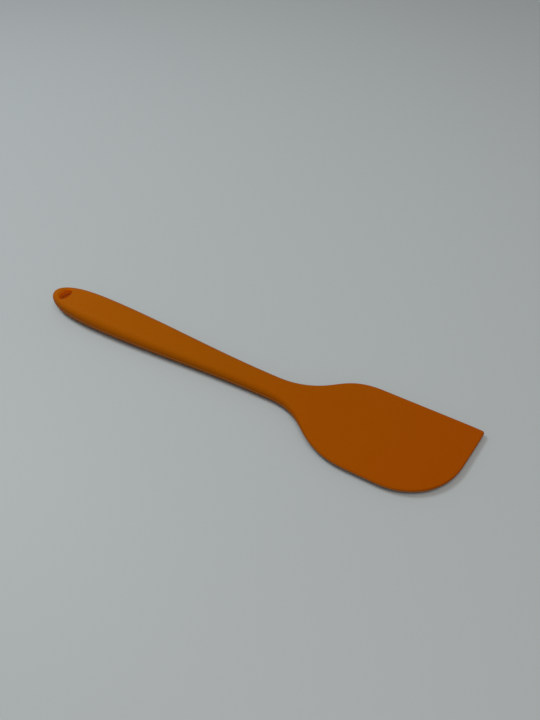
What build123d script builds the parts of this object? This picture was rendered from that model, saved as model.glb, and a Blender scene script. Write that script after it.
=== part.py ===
# One-piece silicone spatula.
# A seamless silicone moulding, from the hanging hole in the handle's end to the
# blade's thin rim, is cast round a stamped steel strip that keeps the handle stiff.
# The handle runs along X with its end at -X and the blade at +X. +Y is the side of
# the blade's square corner, and the table that the spatula lies on is at Z = 0.
import os
from math import acos, atan, cos, degrees, radians, sin, sqrt, tan

from build123d import *

# Whole spatula
overall_length = 280.0

# Handle, seen from above. Places along the spatula are counted from the handle's end.
end_pull_length = 6.7
belly_pull_length = 32.3
belly_width = 24.1
belly_at = 43.0
neck_width = 15.0
neck_length = 7.0

# Handle, seen from the side
end_thickness = 8.8
belly_thickness = 11.5
neck_thickness = 8.6
handle_crown_share = 0.18
corner_round_share = 0.9

# Shoulders between neck and blade: two arcs a side, hollow and then round. The side
# of the blade's round corner turns out from the neck more tightly.
hollow_radius = 45.0
shoulder_radius = 34.0
round_side_hollow_radius = 33.0
round_side_shoulder_radius = 41.0

# Blade, with its length counted back from its end
blade_length = 59.4
blade_width = 57.7
end_slant = 10.4
square_corner_radius = 2.0
round_corner_radius = 36.5
rim_thickness = 2.2
root_crown = 1.5
tip_crown = 0.2

# Hanging hole, in the handle's rounded end
hole_across = 10.0
hole_along = 7.2
hole_at = 10.0
hole_lip_radius = 1.1
rounded_end_length = 20.0

# Steel strip
strip_thickness = 1.8
strip_from = 22.0
strip_belly_width = 12.0
strip_neck_width = 8.0
strip_end_chamfer_length = 3.0
paddle_length = 42.0
paddle_flare_length = 16.0
paddle_width = 26.0
paddle_end_chamfer_length = 7.0
paddle_reach_length = 15.4
key_hole_width = 4.5
paddle_key_length = 12.0
paddle_key_inset_length = 9.0

# Places of the moulding's sections and of the lip's, as shares of the stretch they stand in
grip_shares = (0.3, 0.65, 1.0)
taper_shares = (0.25, 0.5, 0.75, 1.0)
flare_shares = (0.13, 0.23, 0.33, 0.43, 0.52, 0.6, 0.68, 0.76, 0.84, 0.92)
lip_shares = (0, 0.5, 1)

# How far cutting shapes run past what they cut
overrun = 5.0

end_half = end_thickness / 2
belly_half = belly_thickness / 2
neck_half = neck_width / 2
blade_half = blade_width / 2
rim_half = rim_thickness / 2

# A shoulder's two arcs climb from the neck's width to the blade's and meet at the
# angle that makes them do so. The blade's root lies just past the round arcs, where
# the sides are straight.
climb = blade_half - neck_half
root_at = overall_length - blade_length
shoulder_to = root_at - rim_half
arcs_radius = hollow_radius + shoulder_radius
shoulder_angle = acos(1 - climb / arcs_radius)
shoulder_from = shoulder_to - arcs_radius * sin(shoulder_angle)
round_side_arcs_radius = round_side_hollow_radius + round_side_shoulder_radius
round_side_angle = acos(1 - climb / round_side_arcs_radius)
round_side_from = shoulder_to - round_side_arcs_radius * sin(round_side_angle)
neck_at = min(shoulder_from, round_side_from) - neck_length
paddle_from = root_at + paddle_reach_length - paddle_length
strip_to = root_at + paddle_reach_length

# The blade's end is slanted. Its sharp corner lies a little past the overall
# length, so that the rounded corner just reaches it.
square_corner_at = overall_length + square_corner_radius * (tan(radians((90 + end_slant) / 2)) - 1)
round_corner_at = square_corner_at - blade_width * tan(radians(end_slant))

# Both faces of the moulding are alike, so it has a middle plane. The underside is
# straight from the belly to the neck and lies on the table there, which tilts the
# middle plane down towards the blade by half of the handle's taper.
handle_fall = (belly_thickness - neck_thickness) / 2 / (neck_at - belly_at)
crown_fall = (root_crown - tip_crown) / (overall_length - root_at)
tilt = atan(handle_fall)
middle_plane = Plane(
    origin=(-overall_length / 2, 0, belly_at * sin(tilt) + belly_half * cos(tilt)),
    x_dir=(cos(tilt), 0, -sin(tilt)),
    z_dir=(sin(tilt), 0, cos(tilt)),
)

# Outline seen from above: the blade, then the handle with its shoulders
with BuildSketch() as outline:
    with BuildLine():
        Polyline(
            (shoulder_to, blade_half),
            (square_corner_at, blade_half),
            (round_corner_at, -blade_half),
            (shoulder_to, -blade_half),
            close=True,
        )
    make_face()
    fillet(outline.vertices().group_by(Axis.X)[-2], radius=round_corner_radius)
    fillet(outline.vertices().group_by(Axis.X)[-1], radius=square_corner_radius)
    with BuildLine():
        end = Bezier(
            (0, 0),
            (0, end_pull_length),
            (belly_at - belly_pull_length, belly_width / 2),
            (belly_at, belly_width / 2),
        )
        side = Spline(end @ 1, (neck_at, neck_half), tangents=((1, 0), (1, 0)))
        mirror(about=Plane.XZ)
        neck = Line(side @ 1, (shoulder_from, neck_half))
        hollow = JernArc(neck @ 1, (1, 0), hollow_radius, degrees(shoulder_angle))
        shoulder = JernArc(hollow @ 1, hollow % 1, shoulder_radius, -degrees(shoulder_angle))
        neck = Line((neck_at, -neck_half), (round_side_from, -neck_half))
        hollow = JernArc(neck @ 1, (1, 0), round_side_hollow_radius, -degrees(round_side_angle))
        round_side = JernArc(hollow @ 1, hollow % 1, round_side_shoulder_radius, degrees(round_side_angle))
        Line(shoulder @ 1, round_side @ 1)
    make_face()

# Half the thickness along the spatula, drawn as a height above the line y = 0
with BuildSketch() as half_thickness:
    with BuildLine():
        end = Bezier(
            (0, end_half),
            (belly_at / 2, belly_half + handle_fall * belly_at / 2),
            (belly_at, belly_half),
        )
        taper = Line(end @ 1, (neck_at, neck_thickness / 2))
        thinning = Spline(
            taper @ 1,
            (root_at, rim_half + root_crown),
            tangents=((1, -handle_fall), (1, -crown_fall)),
        )
        blade_taper = Line(thinning @ 1, (overall_length, rim_half + tip_crown))
        Polyline(blade_taper @ 1, (overall_length, 0), (0, 0), end @ 0)
    make_face()


def bounds_of(drawing, x):
    """Lowest and highest point of a drawing at a place along the spatula."""
    upright = Edge.make_line((x, -overall_length), (x, overall_length))
    found = drawing.sketch.face().intersect(upright).vertices().sort_by(Axis.Y)
    return found[0].Y, found[-1].Y


def crowned_section(x, sides, side_height, crown, reach=0, radius=0):
    """Upper half of a bar's section between two sides, with a crowned top. The crown
    can reach past the sides, and the corners can be rounded."""
    half_width = (sides[1] - sides[0]) / 2
    crown_radius = (half_width**2 + crown**2) / (2 * crown)
    end_width = half_width + reach
    end_height = side_height + crown - crown_radius + sqrt(crown_radius**2 - end_width**2)
    origin = middle_plane.from_local_coords((x, (sides[0] + sides[1]) / 2, 0))
    with BuildSketch(Plane(origin=origin, x_dir=(0, 1, 0), z_dir=middle_plane.x_dir)) as section:
        with BuildLine():
            top = ThreePointArc((-end_width, end_height), (0, side_height + crown), (end_width, end_height))
            Polyline(top @ 1, (end_width, 0), (-end_width, 0), top @ 0)
        make_face()
        if radius:
            fillet(section.vertices().sort_by(Axis.Y)[-2:], radius=radius)
    return section.sketch


# Steel strip: tapered along the handle, with a paddle in the blade's root, clipped
# corners, and square key holes that the silicone runs through
with BuildPart() as stiffening_core:
    with BuildSketch(middle_plane):
        with BuildLine():
            Polyline(
                (strip_from, 0),
                (strip_from, strip_belly_width / 2),
                (belly_at, strip_belly_width / 2),
                (neck_at, strip_neck_width / 2),
                (paddle_from, strip_neck_width / 2),
                (paddle_from + paddle_flare_length, paddle_width / 2),
                (strip_to, paddle_width / 2),
                (strip_to, 0),
            )
            mirror(about=Plane.XZ)
        make_face()
        with Locations((belly_at, 0)):
            Rectangle(key_hole_width, key_hole_width, mode=Mode.SUBTRACT)
        with Locations((strip_to - paddle_key_inset_length, 0)):
            with GridLocations(paddle_key_length, paddle_key_length, 1, 2):
                Rectangle(key_hole_width, key_hole_width, mode=Mode.SUBTRACT)
    extrude(amount=strip_thickness / 2, both=True)
    standing_edges = stiffening_core.edges().filter_by(Axis((0, 0, 0), middle_plane.z_dir)).group_by(Axis.X)
    chamfer(standing_edges[0], length=strip_end_chamfer_length)
    chamfer(standing_edges[-1], length=paddle_end_chamfer_length)

# Rounded end of the handle, upper half: a crowned block, cut to the outline, with its
# upper edge rounded
end_corner_radius = corner_round_share * (1 - handle_crown_share) * end_half
with BuildPart() as rounded_end:
    block_sections = []
    for x in (-overrun, rounded_end_length):
        half_height = bounds_of(half_thickness, max(x, 0))[1]
        side_height = (1 - handle_crown_share) * half_height
        sides = (-belly_width / 2, belly_width / 2)
        block_sections.append(
            crowned_section(x, sides, side_height, half_height - side_height, reach=overrun)
        )
    loft(block_sections)
    with BuildSketch(middle_plane):
        add(outline.sketch)
        with Locations((rounded_end_length, 0)):
            Rectangle(overall_length, overall_length, align=(Align.MIN, Align.CENTER), mode=Mode.SUBTRACT)
    extrude(amount=belly_thickness, mode=Mode.INTERSECT)
    rim_edges = rounded_end.faces().sort_by(Axis.Z)[-1].edges().sort_by(Axis.X)[:-1]
    fillet(rim_edges, radius=end_corner_radius)

# Upper half of the blade: a crowned plate, cut to the outline, with its rim rounded
with BuildPart() as blade:
    plate_sections = []
    for x in (root_at, overall_length + overrun):
        crown = root_crown - crown_fall * (x - root_at)
        sides = (-blade_half, blade_half)
        plate_sections.append(crowned_section(x, sides, rim_half, crown, reach=overrun))
    loft(plate_sections)
    with BuildSketch(middle_plane):
        add(outline.sketch)
        with Locations((root_at, 0)):
            Rectangle(overall_length, overall_length, align=(Align.MAX, Align.CENTER), mode=Mode.SUBTRACT)
    extrude(amount=belly_thickness, mode=Mode.INTERSECT)
    rim_edges = blade.faces().sort_by(Axis.Z)[-1].edges().sort_by(Axis.X)[1:]
    fillet(rim_edges, radius=corner_round_share * rim_half)

# Upper half of the moulding. Between the rounded end and the blade it is lofted.
# The corners grow rounder up to the belly. Towards the blade the crown grows flatter
# and the corners draw in to the thin rim.
grip_places = [rounded_end_length + share * (belly_at - rounded_end_length) for share in grip_shares]
taper_places = [belly_at + share * (neck_at - belly_at) for share in taper_shares]
flare_places = [neck_at + share * (root_at - neck_at) for share in flare_shares]
with BuildPart() as upper_half:
    sections = [rounded_end.faces().sort_by(Axis.X)[-1]]
    for x in grip_places + taper_places + flare_places:
        sides = bounds_of(outline, x)
        half_height = bounds_of(half_thickness, x)[1]
        side_height = (1 - handle_crown_share) * half_height
        if x > neck_at:
            narrowness = (blade_half - (sides[1] - sides[0]) / 2) / climb
            side_height = rim_half + narrowness * (side_height - rim_half)
        radius = corner_round_share * side_height
        if x < belly_at:
            nearness = (x - rounded_end_length) / (belly_at - rounded_end_length)
            radius = end_corner_radius + nearness * (radius - end_corner_radius)
        crown = half_height - side_height
        sections.append(crowned_section(x, sides, side_height, crown, radius=radius))
    sections.append(blade.faces().sort_by(Axis.X)[0])
    loft(sections)
    add(rounded_end.part)
    add(blade.part)


def moulding_height(x, y):
    """Height of the moulding's upper half above the middle plane."""
    foot = middle_plane.from_local_coords((x, y, 0))
    upright = Edge.make_line(foot, foot + middle_plane.z_dir * belly_thickness)
    return upright.intersect(upper_half.part)[0].length


def lip_spread(rise):
    """How far the hole's lip has opened, at a rise above its rim or below it."""
    climb = min(max(rise + hole_lip_radius, 0), hole_lip_radius)
    return hole_lip_radius - sqrt(hole_lip_radius**2 - climb**2)


# Hanging hole: an oval well whose lip opens in a round. The moulding is
# higher behind the hole than in front of it or beside it, so each side of the lip
# starts to open at its own height.
end_rim = moulding_height(hole_at - hole_along / 2 - hole_lip_radius, 0)
inner_rim = moulding_height(hole_at + hole_along / 2 + hole_lip_radius, 0)
side_rim = moulding_height(hole_at, hole_across / 2 + hole_lip_radius)
lip_low = min(end_rim, inner_rim, side_rim) - hole_lip_radius
lip_high = max(end_rim, inner_rim, side_rim)
with BuildPart() as hanging_hole:
    for share in lip_shares:
        height = lip_low + share * (lip_high - lip_low)
        end_spread = lip_spread(height - end_rim)
        inner_spread = lip_spread(height - inner_rim)
        side_spread = lip_spread(height - side_rim)
        with BuildSketch(middle_plane.offset(height)):
            with Locations((hole_at + (inner_spread - end_spread) / 2, 0)):
                Ellipse(
                    hole_along / 2 + (inner_spread + end_spread) / 2,
                    hole_across / 2 + side_spread,
                )
    loft()
    extrude(hanging_hole.faces().sort_by(Axis.Z)[-1], amount=overrun)
    with BuildSketch(middle_plane):
        with Locations((hole_at, 0)):
            Ellipse(hole_along / 2, hole_across / 2)
    extrude(amount=lip_low)

# The lower half is the upper one's mirror image, and the strip is sealed inside.
with BuildPart() as silicone_body:
    add(upper_half.part)
    add(hanging_hole.part, mode=Mode.SUBTRACT)
    mirror(about=middle_plane)
    add(stiffening_core.part, mode=Mode.SUBTRACT)

os.makedirs("parts", exist_ok=True)
stiffening_core.part.label = "stiffening_core"
export_step(stiffening_core.part, "parts/stiffening_core.step")
silicone_body.part.label = "silicone_body"
export_step(silicone_body.part, "parts/silicone_body.step")
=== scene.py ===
# A one-piece silicone spatula lying on a pale table, seen from above its near side.
# Lengths are in metres. The handle runs along X with its end at -X, the blade is at
# +X with its square corner on the +Y side, and the table top is at Z = 0.
from math import acos, atan, atan2, cos, hypot, pi, radians, sin, sqrt, tan

import bmesh
import bpy
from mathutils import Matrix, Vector


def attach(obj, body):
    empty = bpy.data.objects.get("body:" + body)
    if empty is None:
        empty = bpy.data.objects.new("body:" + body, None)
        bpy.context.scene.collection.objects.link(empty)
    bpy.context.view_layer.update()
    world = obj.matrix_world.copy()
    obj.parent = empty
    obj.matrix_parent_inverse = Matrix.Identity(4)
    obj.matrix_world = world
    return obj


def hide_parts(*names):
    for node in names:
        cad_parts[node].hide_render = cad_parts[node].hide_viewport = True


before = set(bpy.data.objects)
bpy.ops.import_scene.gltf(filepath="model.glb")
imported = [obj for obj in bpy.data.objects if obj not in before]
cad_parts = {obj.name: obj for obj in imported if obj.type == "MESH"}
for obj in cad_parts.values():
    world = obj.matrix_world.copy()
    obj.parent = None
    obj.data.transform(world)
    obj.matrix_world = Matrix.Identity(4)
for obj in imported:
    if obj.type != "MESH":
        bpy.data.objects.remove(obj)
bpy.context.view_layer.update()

# Camera
# A phone held over the near side of the blade, looking down across the handle.
camera_place = (0.1145, -0.1697, 0.2489)
camera_dip = radians(48.93)
camera_heading = radians(28.36)
camera_lens = 26.92
camera_data = bpy.data.cameras.new("camera")
camera_data.lens = camera_lens
camera = bpy.data.objects.new("camera", camera_data)
camera.location = camera_place
camera.rotation_euler = (pi / 2 - camera_dip, 0, camera_heading)
bpy.context.scene.collection.objects.link(camera)
bpy.context.scene.camera = camera
bpy.context.scene.view_settings.view_transform = "Standard"

# Silicone body
# One seamless moulding of orange silicone: handle, neck, blade and the wall of the
# hanging hole. It is drawn level first, as its upper face from the handle's end to
# the blade's end, then doubled to its lower face and laid on the table.
spatula_length = 0.280
end_pull = 0.0067
belly_pull = 0.0323
belly_at = 0.043
belly_half_width = 0.01205
neck_half_width = 0.0075
neck_length = 0.007
hollow_radius = 0.045
shoulder_radius = 0.034
round_side_hollow_radius = 0.033
round_side_shoulder_radius = 0.041
blade_length = 0.0594
blade_half_width = 0.02885
end_slant = radians(10.4)
square_corner_radius = 0.002
round_corner_radius = 0.0365
end_half_thickness = 0.00438
belly_half_thickness = 0.00573
neck_half_thickness = 0.00428
rim_half_thickness = 0.0011
root_crown = 0.0015
tip_crown = 0.0002
handle_crown_share = 0.18
corner_round_share = 0.9
hole_at = 0.010
hole_half_along = 0.0036
hole_half_across = 0.005
hole_lip_radius = 0.0011
crowned_end_length = 0.020

# What follows from these sizes: where the blade's root, the shoulders and the neck
# come, and how the thickness falls along the handle and the blade.
root_at = spatula_length - blade_length
shoulder_to = root_at - rim_half_thickness
climb = blade_half_width - neck_half_width
shoulder_angle = acos(1 - climb / (hollow_radius + shoulder_radius))
shoulder_from = shoulder_to - (hollow_radius + shoulder_radius) * sin(shoulder_angle)
neck_at = shoulder_from - neck_length
handle_fall = (belly_half_thickness - neck_half_thickness) / (neck_at - belly_at)
crown_fall = (root_crown - tip_crown) / blade_length
end_corner_radius = corner_round_share * (1 - handle_crown_share) * end_half_thickness


def eased(start, end, start_slope, end_slope, run, share):
    """A smooth climb from one size to another over a run, with its slopes given."""
    square, cube = share**2, share**3
    return (
        (2 * cube - 3 * square + 1) * start
        + (cube - 2 * square + share) * run * start_slope
        + (3 * square - 2 * cube) * end
        + (cube - square) * run * end_slope
    )


def grip_outline(share):
    """A point of the handle's rounded end and belly, seen from above."""
    rest = 1 - share
    pull = belly_at - belly_pull
    x = 3 * rest * share**2 * pull + share**3 * belly_at
    y = 3 * rest**2 * share * end_pull + (3 * rest * share**2 + share**3) * belly_half_width
    return x, y


def grip_width(x):
    """Width from the middle to the side, over the handle's rounded end and belly."""
    low, high = 0.0, 1.0
    for _ in range(40):
        middle = (low + high) / 2
        if grip_outline(middle)[0] < x:
            low = middle
        else:
            high = middle
    return grip_outline(low)[1]


def shoulder_width(x, hollow, shoulder):
    """Width from the middle to one side, over that side's hollow and round arcs."""
    angle = acos(1 - climb / (hollow + shoulder))
    rest = shoulder_to - x
    if rest > (hollow + shoulder) * sin(angle):
        return neck_half_width
    if rest > shoulder * sin(angle):
        run = (hollow + shoulder) * sin(angle) - rest
        return neck_half_width + hollow - sqrt(hollow**2 - run**2)
    if rest > 0:
        return blade_half_width - shoulder + sqrt(shoulder**2 - rest**2)
    return blade_half_width


def side_widths(x):
    """Width from the middle to the -Y side and to the +Y side."""
    if x < belly_at:
        return grip_width(x), grip_width(x)
    if x < neck_at:
        run = neck_at - belly_at
        width = eased(belly_half_width, neck_half_width, 0, 0, run, (x - belly_at) / run)
        return width, width
    return (
        shoulder_width(x, round_side_hollow_radius, round_side_shoulder_radius),
        shoulder_width(x, hollow_radius, shoulder_radius),
    )


def half_height(x):
    """Half of the spatula's thickness along its middle."""
    if x < belly_at:
        share = x / belly_at
        rise = belly_half_thickness + handle_fall * belly_at / 2
        return (
            (1 - share) ** 2 * end_half_thickness
            + 2 * (1 - share) * share * rise
            + share**2 * belly_half_thickness
        )
    if x < neck_at:
        return belly_half_thickness - handle_fall * (x - belly_at)
    if x < root_at:
        run = root_at - neck_at
        root_half = rim_half_thickness + root_crown
        share = (x - neck_at) / run
        return eased(neck_half_thickness, root_half, -handle_fall, -crown_fall, run, share)
    return rim_half_thickness + root_crown - crown_fall * (x - root_at)


def side_height(x):
    """Height at which the upper face would meet the side, were the corner sharp."""
    full = (1 - handle_crown_share) * half_height(x)
    if x < neck_at:
        return full
    narrowness = (blade_half_width - sum(side_widths(x)) / 2) / climb
    return rim_half_thickness + narrowness * (full - rim_half_thickness)


def corner_radius(x):
    """Radius of the rounding between the upper face and the side."""
    radius = corner_round_share * side_height(x)
    if x < crowned_end_length:
        return end_corner_radius
    if x < belly_at:
        nearness = (x - crowned_end_length) / (belly_at - crowned_end_length)
        return end_corner_radius + nearness * (radius - end_corner_radius)
    return radius


def upper_face(x, y, inset):
    """Height of the upper face at a place whose distance from the rim is the inset."""
    radius = corner_radius(x)
    near, far = side_widths(x)
    crown_width = belly_half_width if x < crowned_end_length else (near + far) / 2
    off_crest = abs(y - (far - near) / 2)
    crown = (half_height(x) - side_height(x)) * (1 - min(off_crest / crown_width, 1) ** 2)
    short = max(radius - inset, 0)
    return crown + side_height(x) - radius + sqrt(radius**2 - short**2)


def on_arc(centre, radius, angle):
    """A point of a corner's arc, and the direction from it into the blade."""
    outward = Vector((cos(angle), sin(angle)))
    return Vector(centre) + radius * outward, -outward


# The blade's outline past the shoulders. The round corner's arc and the square
# corner's small one are each shared half and half by a side and the end.
round_turn = pi / 2 - end_slant
square_turn = pi / 2 + end_slant
round_setback = round_corner_radius * tan(round_turn / 2)
square_setback = square_corner_radius * tan(square_turn / 2)
half_round_arc = round_corner_radius * round_turn / 2
half_square_arc = square_corner_radius * square_turn / 2
sharp_tip = spatula_length + square_setback - square_corner_radius
round_tip = sharp_tip - 2 * blade_half_width * tan(end_slant)
round_centre = (round_tip - round_setback, round_corner_radius - blade_half_width)
square_centre = (sharp_tip - square_setback, blade_half_width - square_corner_radius)
near_straight = round_centre[0] - shoulder_to
far_straight = square_centre[0] - shoulder_to
near_length = near_straight + half_round_arc
far_length = far_straight + half_square_arc
end_straight = 2 * blade_half_width / cos(end_slant) - round_setback - square_setback
end_length = half_round_arc + end_straight + half_square_arc


def near_side(run):
    """A point of the blade's -Y side, and the direction from it into the blade."""
    if run < near_straight:
        return Vector((shoulder_to + run, -blade_half_width)), Vector((0, 1))
    turn = (run - near_straight) / round_corner_radius
    return on_arc(round_centre, round_corner_radius, turn - pi / 2)


def far_side(run):
    """A point of the blade's +Y side, and the direction from it into the blade."""
    if run < far_straight:
        return Vector((shoulder_to + run, blade_half_width)), Vector((0, -1))
    turn = (run - far_straight) / square_corner_radius
    return on_arc(square_centre, square_corner_radius, pi / 2 - turn)


def end_side(run):
    """A point of the blade's slanted end, from the round corner to the square one."""
    if run < half_round_arc:
        turn = (run - half_round_arc) / round_corner_radius
        return on_arc(round_centre, round_corner_radius, turn - end_slant)
    run -= half_round_arc
    if run < end_straight:
        start, inward = on_arc(round_centre, round_corner_radius, -end_slant)
        return start + run * Vector((sin(end_slant), cos(end_slant))), inward
    turn = (run - end_straight) / square_corner_radius
    return on_arc(square_centre, square_corner_radius, turn - end_slant)


# The upper face is a net of rows across and columns along. Five lines on each side,
# and five at the blade's end, turn over the rounded rim; nine lie on the broad top.
rim_turns = [radians(angle) for angle in (0, 22.5, 45, 67.5, 90)]
rim_insets = [1 - cos(turn) for turn in rim_turns]
rim_bulge = 0.02
top_columns = 9
top_shares = [step / (top_columns + 1) for step in range(1, top_columns + 1)]
column_count = 2 * len(rim_turns) + top_columns
first, last = 0, column_count - 1
inner = len(rim_turns) - 1
nose_points = [grip_outline(step / 400) for step in range(400)]


def nose_inset(x, y):
    """Distance of a place from the handle's rounded end, seen from above."""
    return min(hypot(x - nose_x, abs(y) - nose_y) for nose_x, nose_y in nose_points)


def straight_row(x, sealed=False):
    """Places of one row's points across the spatula, from the -Y rim to the +Y rim."""
    near, far = side_widths(x)
    radius = corner_radius(x)
    steady = hole_at - hole_half_along - hole_lip_radius
    scale = 1
    if x < steady:
        scale = near / side_widths(steady)[0]
        near = far = side_widths(steady)[0]
    spread = [scale * (radius * inset - near) for inset in rim_insets]
    for share in top_shares:
        spread.append(scale * ((1 - share) * (radius - near) + share * (far - radius)))
    spread += [scale * (far - radius * inset) for inset in rim_insets[::-1]]
    row = []
    for y in spread:
        inset = nose_inset(x, y) if x < crowned_end_length else min(y + near, far - y)
        row.append(Vector((x, y, 0 if sealed else upper_face(x, y, inset))))
    for place, outward in ((first, -1), (last, 1)):
        row[place].z = 0
        row[place].y += outward * rim_bulge * radius
    return row


# The handle's rows, from its very end over the hanging hole and along the grip, and
# the rows of the neck and the shoulders.
nose_rows = [end_corner_radius * inset for inset in rim_insets]
hole_edge = hole_half_along + hole_lip_radius
hole_rows = [hole_at + hole_edge * step / 3 for step in range(-3, 4)]
grip_rows = [0.0175, 0.021, 0.026, 0.032, 0.039, 0.047, 0.056, 0.066]
grip_rows += [0.077, 0.089, 0.101, 0.113, 0.125, 0.137, 0.148]
shoulder_steps = 13
shoulder_step = (shoulder_to - neck_at) / shoulder_steps
shoulder_rows = [neck_at + shoulder_step * step for step in range(shoulder_steps + 1)]
rows = [straight_row(nose_rows[0], sealed=True)]
rows += [straight_row(x) for x in nose_rows[1:] + hole_rows + grip_rows + shoulder_rows]

# The blade's rows start straight across its root and turn, row by row, into the line
# of its slanted end.
blade_rows = 9
last_blade_share = 0.98
rim_radius = corner_round_share * rim_half_thickness
insets = [rim_radius * inset for inset in rim_insets]


def rim_lines(near_run, far_run):
    """Places over the rounded rim at both ends of a row that crosses the blade."""
    near_point, near_in = near_side(near_run)
    far_point, far_in = far_side(far_run)
    near = [(near_point + inset * near_in, inset, near_in) for inset in insets]
    far = [(far_point + inset * far_in, inset, far_in) for inset in insets]
    return near, far


def corner_lines(end_inset):
    """Places over both corners for a row that follows the end at this inset."""
    near, far = [], []
    for inset in insets:
        if inset > end_inset:
            near_point, near_in = end_side(inset - end_inset)
            far_point, far_in = end_side(end_length - (inset - end_inset))
        else:
            near_point, near_in = near_side(near_length - (end_inset - inset))
            far_point, far_in = far_side(far_length - (end_inset - inset))
        depth = min(inset, end_inset)
        near.append((near_point + depth * near_in, depth, near_in))
        far.append((far_point + depth * far_in, depth, far_in))
    return near, far


def settle(place, depth, inward):
    """A place over the rim with its height, and the rim itself a little fuller."""
    if depth == 0:
        x, y = place - rim_bulge * rim_radius * inward
        return Vector((x, y, 0))
    x, y = place
    return Vector((x, y, upper_face(x, y, depth)))


end_runs = [rim_radius + share * (end_length - 2 * rim_radius) for share in top_shares]
end_points = [end_side(run) for run in end_runs]
end_row = [point + rim_radius * inward for point, inward in end_points]
corner_near, corner_far = corner_lines(rim_radius)
end_near, end_far = corner_near[-1][0], corner_far[-1][0]
root_row = [Vector((point.x, point.y)) for point in rows[-1]]
root_near, root_far = root_row[inner], root_row[last - inner]
for step in range(1, blade_rows + 1):
    share = last_blade_share * step / (blade_rows + 1)
    near, far = rim_lines(share * near_length, share * far_length)
    near_inner, far_inner = near[-1][0], far[-1][0]
    row = [settle(*found) for found in near]
    for place, across in enumerate(top_shares):
        along = (1 - share) * root_row[inner + 1 + place] + share * end_row[place]
        over = (1 - across) * near_inner + across * far_inner
        at_root = (1 - across) * root_near + across * root_far
        at_end = (1 - across) * end_near + across * end_far
        x, y = along + over - (1 - share) * at_root - share * at_end
        row.append(Vector((x, y, upper_face(x, y, rim_radius))))
    row += [settle(*found) for found in far[::-1]]
    rows.append(row)
for inset in insets[::-1]:
    near, far = corner_lines(inset)
    row = [settle(*found) for found in near]
    row += [settle(point + inset * inward, inset, inward) for point, inward in end_points]
    row += [settle(*found) for found in far[::-1]]
    rows.append(row)

# The net starts as a flat strip of one row's faces. Its two rows are pulled to their
# places, and each further row is extruded from the last one and pulled to its own.
bpy.ops.object.select_all(action="DESELECT")
bpy.ops.mesh.primitive_grid_add(
    x_subdivisions=1, y_subdivisions=column_count - 1, size=blade_half_width
)
body = bpy.context.object
body.name = "spatula_body"
bpy.ops.object.mode_set(mode="EDIT")
net = bmesh.from_edit_mesh(body.data)


def pick(vertices):
    """Selects these points of the net, with the edges between them, and nothing else."""
    bpy.ops.mesh.select_all(action="DESELECT")
    for vertex in vertices:
        vertex.select = True
    net.select_flush_mode()
    bmesh.update_edit_mesh(body.data)


def pull(vertex, place):
    """Moves one point of the net to its place."""
    bpy.ops.mesh.select_all(action="DESELECT")
    vertex.select = True
    bpy.ops.transform.translate(value=place - vertex.co)


bpy.ops.mesh.select_mode(type="VERT")
ordered = sorted(net.verts, key=lambda vertex: (round(vertex.co.x, 6), vertex.co.y))
pulled = [ordered[:column_count], ordered[column_count:]]
for line, row in zip(pulled, rows):
    for vertex, place in zip(line, row):
        pull(vertex, place)
extrude_step = 0.001
for row in rows[2:]:
    pick(pulled[-1])
    bpy.ops.mesh.extrude_edges_move(TRANSFORM_OT_translate={"value": (extrude_step, 0, 0)})
    added = [vertex for vertex in net.verts if vertex.select]
    line = sorted(added, key=lambda vertex: vertex.co.y)
    for vertex, place in zip(line, row):
        pull(vertex, place)
    pulled.append(line)

# The hanging hole is cut through the net's end, and its lip is drawn down into it.
front, back = len(nose_rows), len(nose_rows) + len(hole_rows) - 1
left, right = inner - 1, last - inner + 1
patch = {vertex for line in pulled[front : back + 1] for vertex in line[left : right + 1]}
border = pulled[front][left:right] + [line[right] for line in pulled[front:back]]
border += pulled[back][right:left:-1] + [line[left] for line in pulled[back:front:-1]]
bpy.ops.mesh.select_all(action="DESELECT")
bpy.ops.mesh.select_mode(type="FACE")
for face in net.faces:
    face.select = all(vertex in patch for vertex in face.verts)
bmesh.update_edit_mesh(body.data)
bpy.ops.mesh.delete(type="FACE")
bpy.ops.mesh.select_mode(type="VERT")


def hole_angle(point):
    """Angle of a point round the hanging hole, from its side towards the blade."""
    return atan2(point.y / (hole_half_across + hole_lip_radius), (point.x - hole_at) / hole_edge)


lip_turns = rim_turns[::-1]
for step in range(len(lip_turns) + 1):
    down_wall = step == len(lip_turns)
    turn = 0 if down_wall else lip_turns[step]
    spread = hole_lip_radius * (1 - cos(turn))
    pick(border)
    bpy.ops.mesh.extrude_edges_move(TRANSFORM_OT_translate={"value": (0, 0, 0)})
    ring = [vertex for vertex in net.verts if vertex.select]
    border = sorted(ring, key=lambda vertex: hole_angle(vertex.co))
    for vertex in border:
        angle = hole_angle(vertex.co)
        lip_x = hole_at + hole_edge * cos(angle)
        lip_y = (hole_half_across + hole_lip_radius) * sin(angle)
        lip_height = upper_face(lip_x, lip_y, nose_inset(lip_x, lip_y))
        x = hole_at + (hole_half_along + spread) * cos(angle)
        y = (hole_half_across + spread) * sin(angle)
        height = 0 if down_wall else lip_height - hole_lip_radius * (1 - sin(turn))
        pull(vertex, Vector((x, y, height)))

# The lower face is the upper one turned over, and both meet along the rim.
bpy.ops.mesh.select_all(action="SELECT")
bpy.ops.mesh.duplicate()
bpy.ops.transform.resize(value=(1, 1, -1), center_override=(0, 0, 0))
bpy.ops.mesh.select_all(action="SELECT")
seam_gap = 0.000002
bpy.ops.mesh.remove_doubles(threshold=seam_gap)
bpy.ops.mesh.normals_make_consistent(inside=False)

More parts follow.
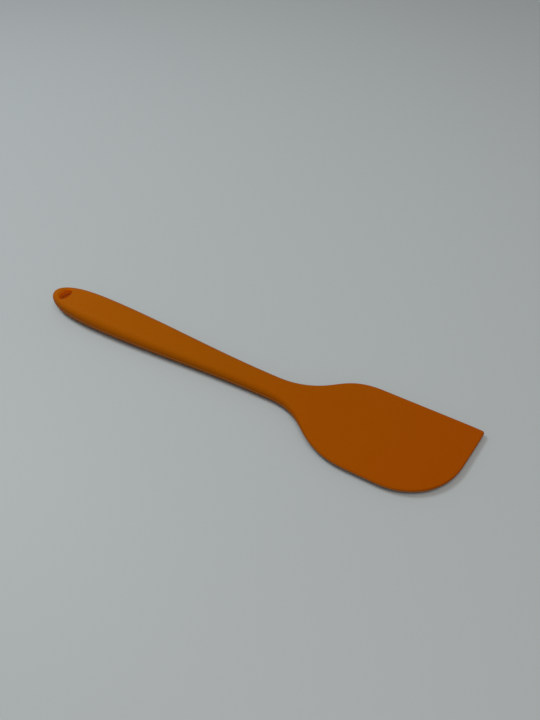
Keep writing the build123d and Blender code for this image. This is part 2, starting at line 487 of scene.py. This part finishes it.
# The net is smoothed. The faces in its corners each hold a straight run of the rim,
# so they get a point in their middle, which keeps their halves off each other.
bpy.ops.object.mode_set(mode="OBJECT")
rounding = body.modifiers.new("rounding", "SUBSURF")
rounding.levels = 2
rounding.render_levels = 2
bpy.ops.object.modifier_apply(modifier=rounding.name)
bpy.ops.object.mode_set(mode="EDIT")
net = bmesh.from_edit_mesh(body.data)
bpy.ops.mesh.select_all(action="DESELECT")
bpy.ops.mesh.select_mode(type="FACE")
for face in net.faces:
    face.select = sum(abs(vertex.co.z) < seam_gap / 20 for vertex in face.verts) == 3
bmesh.update_edit_mesh(body.data)
bpy.ops.mesh.poke()

# Laid on the table: it rests on the handle's underside, which tilts it a little.
tilt = atan(handle_fall)
lift = belly_at * sin(tilt) + belly_half_thickness * cos(tilt)
bpy.ops.mesh.select_all(action="SELECT")
bpy.ops.transform.rotate(value=-tilt, orient_axis="Y", center_override=(0, 0, 0))
bpy.ops.transform.translate(value=(-spatula_length / 2, 0, lift))
bpy.ops.object.mode_set(mode="OBJECT")
bpy.ops.object.shade_smooth()

# The silicone is matt and lets a little light in under its skin.
silicone = bpy.data.materials.new("orange_silicone")
silicone.use_nodes = True
nodes, links = silicone.node_tree.nodes, silicone.node_tree.links
shader = nodes["Principled BSDF"]
shader.inputs["Specular IOR Level"].default_value = 0.03
shader.inputs["Specular Tint"].default_value = (1.0, 0.5, 0.05, 1)
shader.inputs["Subsurface Weight"].default_value = 0.1
shader.inputs["Subsurface Radius"].default_value = (1.0, 0.3, 0.02)
shader.inputs["Subsurface Scale"].default_value = 0.0006
place = nodes.new("ShaderNodeTexCoord")

# Its orange deepens from the handle's end to the blade, with faint clouds in it. The paler
# handle end is partly the silicone's own tone and partly painted sheen, for the light that the
# far end catches at a grazing angle.
clouding = nodes.new("ShaderNodeTexNoise")
clouding.inputs["Scale"].default_value = 28
clouding.inputs["Detail"].default_value = 4
links.new(place.outputs["Object"], clouding.inputs["Vector"])
along = nodes.new("ShaderNodeSeparateXYZ")
links.new(place.outputs["Object"], along.inputs["Vector"])
towards_blade = nodes.new("ShaderNodeMapRange")
towards_blade.inputs["From Min"].default_value = -spatula_length / 2
towards_blade.inputs["From Max"].default_value = spatula_length / 2
links.new(along.outputs["X"], towards_blade.inputs["Value"])
clouded = nodes.new("ShaderNodeMix")
clouded.inputs["Factor"].default_value = 0.16
links.new(towards_blade.outputs["Result"], clouded.inputs["A"])
links.new(clouding.outputs["Fac"], clouded.inputs["B"])
orange = nodes.new("ShaderNodeValToRGB")
orange.color_ramp.elements[0].position = 0.08
orange.color_ramp.elements[0].color = (0.298, 0.075, 0.0006, 1)
orange.color_ramp.elements[1].position = 0.90
orange.color_ramp.elements[1].color = (0.270, 0.054, 0.0004, 1)
neck_orange = orange.color_ramp.elements.new(0.45)
neck_orange.color = (0.263, 0.067, 0.0005, 1)
links.new(clouded.outputs["Result"], orange.inputs["Fac"])

# Inside the hanging hole the wall is painted a brighter orange: a painted glow that stands in
# for the light going from wall to wall.
hole_places = nodes.new("ShaderNodeMapping")
hole_places.vector_type = "TEXTURE"
hole_places.inputs["Location"].default_value = (hole_at - spatula_length / 2, 0, 0)
hole_places.inputs["Scale"].default_value = (hole_half_along, hole_half_across, 1000)
links.new(place.outputs["Object"], hole_places.inputs["Vector"])
off_hole = nodes.new("ShaderNodeVectorMath")
off_hole.operation = "LENGTH"
links.new(hole_places.outputs["Vector"], off_hole.inputs[0])
in_hole = nodes.new("ShaderNodeMapRange")
in_hole.inputs["From Min"].default_value = 1.08
in_hole.inputs["From Max"].default_value = 1.01
links.new(off_hole.outputs["Value"], in_hole.inputs["Value"])
painted_hole_glow = nodes.new("ShaderNodeMix")
painted_hole_glow.data_type = "RGBA"
# The painted glow's colour, much brighter than the orange round the hole.
painted_hole_glow.inputs["B"].default_value = (0.72, 0.17, 0.0010, 1)
links.new(in_hole.outputs["Result"], painted_hole_glow.inputs["Factor"])
links.new(orange.outputs["Color"], painted_hole_glow.inputs["A"])

# A paler band is painted round the middle of the side, along the mould's parting line: a painted
# highlight, for the light that the line catches.
parting_half_width = 0.0003
parting_fade = 0.0003
level_places = nodes.new("ShaderNodeMapping")
level_places.vector_type = "TEXTURE"
level_places.inputs["Location"].default_value = (-spatula_length / 2, 0, lift)
level_places.inputs["Rotation"].default_value = (0, tilt, 0)
links.new(place.outputs["Object"], level_places.inputs["Vector"])
level_height = nodes.new("ShaderNodeSeparateXYZ")
links.new(level_places.outputs["Vector"], level_height.inputs["Vector"])
off_line = nodes.new("ShaderNodeMath")
off_line.operation = "ABSOLUTE"
links.new(level_height.outputs["Z"], off_line.inputs[0])
on_line = nodes.new("ShaderNodeMapRange")
on_line.inputs["From Min"].default_value = parting_half_width + parting_fade
on_line.inputs["From Max"].default_value = parting_half_width
on_line.inputs["To Max"].default_value = 0.9
links.new(off_line.outputs["Value"], on_line.inputs["Value"])
parting_highlight = nodes.new("ShaderNodeMix")
parting_highlight.data_type = "RGBA"
# The painted highlight's paler colour.
parting_highlight.inputs["B"].default_value = (0.38, 0.13, 0.030, 1)
links.new(on_line.outputs["Result"], parting_highlight.inputs["Factor"])
links.new(painted_hole_glow.outputs["Result"], parting_highlight.inputs["A"])
links.new(parting_highlight.outputs["Result"], shader.inputs["Base Color"])

# The skin has a fine grain, and is duller where the clouds are deepest.
skin = nodes.new("ShaderNodeTexNoise")
skin.inputs["Scale"].default_value = 1400
skin.inputs["Detail"].default_value = 2
links.new(place.outputs["Object"], skin.inputs["Vector"])
grain = nodes.new("ShaderNodeBump")
grain.inputs["Strength"].default_value = 0.12
grain.inputs["Distance"].default_value = 0.0001
links.new(skin.outputs["Fac"], grain.inputs["Height"])
links.new(grain.outputs["Normal"], shader.inputs["Normal"])
dullness = nodes.new("ShaderNodeMapRange")
dullness.inputs["To Min"].default_value = 0.46
dullness.inputs["To Max"].default_value = 0.58
links.new(clouding.outputs["Fac"], dullness.inputs["Value"])
links.new(dullness.outputs["Result"], shader.inputs["Roughness"])
body.data.materials.append(silicone)
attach(body, "root")
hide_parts("silicone_body")

# Stiffening core
# A stamped stainless steel strip, sealed inside the silicone. It keeps the surface
# that came off the rolling mill, brushed along its length.
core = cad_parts["stiffening_core"]
steel = bpy.data.materials.new("rolled_steel")
steel.use_nodes = True
nodes, links = steel.node_tree.nodes, steel.node_tree.links
shader = nodes["Principled BSDF"]
shader.inputs["Metallic"].default_value = 1
place = nodes.new("ShaderNodeTexCoord")
drawn_out = nodes.new("ShaderNodeMapping")
drawn_out.inputs["Scale"].default_value = (12, 1500, 1500)
links.new(place.outputs["Object"], drawn_out.inputs["Vector"])
brushing = nodes.new("ShaderNodeTexNoise")
brushing.inputs["Scale"].default_value = 1
brushing.inputs["Detail"].default_value = 3
links.new(drawn_out.outputs["Vector"], brushing.inputs["Vector"])
grey = nodes.new("ShaderNodeValToRGB")
grey.color_ramp.elements[0].color = (0.52, 0.52, 0.54, 1)
grey.color_ramp.elements[1].color = (0.64, 0.64, 0.66, 1)
links.new(brushing.outputs["Fac"], grey.inputs["Fac"])
links.new(grey.outputs["Color"], shader.inputs["Base Color"])
dullness = nodes.new("ShaderNodeMapRange")
dullness.inputs["To Min"].default_value = 0.28
dullness.inputs["To Max"].default_value = 0.42
links.new(brushing.outputs["Fac"], dullness.inputs["Value"])
links.new(dullness.outputs["Result"], shader.inputs["Roughness"])
core.data.materials.clear()
core.data.materials.append(steel)

# Table
# A pale laminate table top that the spatula lies on. It is one plain colour all
# over, and only the light shades it.
table_size = 6
bpy.ops.object.select_all(action="DESELECT")
bpy.ops.mesh.primitive_plane_add(size=table_size)
table = bpy.context.object
table.name = "table"
laminate = bpy.data.materials.new("laminate")
laminate.use_nodes = True
shader = laminate.node_tree.nodes["Principled BSDF"]
shader.inputs["Base Color"].default_value = (0.345, 0.380, 0.385, 1)
shader.inputs["Roughness"].default_value = 0.5
shader.inputs["Specular IOR Level"].default_value = 0.2
table.data.materials.append(laminate)

# Light
# A window high on the left, a broad ceiling light nearly over the spatula, and a
# bright room round them. Each lamp has its place, size, power and colour.
room = bpy.data.worlds.new("room")
room.use_nodes = True
room.node_tree.nodes["Background"].inputs["Color"].default_value = (1.0, 0.97, 0.95, 1)
room.node_tree.nodes["Background"].inputs["Strength"].default_value = 0.35
bpy.context.scene.world = room
for name, spot, width, height, power, colour in (
    ("left_window", (-0.76, 0.04, 1.02), 0.35, 0.35, 7.2, (0.94, 1.0, 1.03)),
    ("ceiling_light", (0.15, -0.20, 1.25), 0.9, 0.7, 7.6, (1.0, 0.91, 0.87)),
):
    lamp_data = bpy.data.lights.new(name, "AREA")
    lamp_data.shape = "RECTANGLE"
    lamp_data.size = width
    lamp_data.size_y = height
    lamp_data.energy = power
    lamp_data.color = colour
    lamp = bpy.data.objects.new(name, lamp_data)
    lamp.location = spot
    lamp.rotation_euler = (-Vector(spot)).to_track_quat("-Z", "Y").to_euler()
    bpy.context.scene.collection.objects.link(lamp)
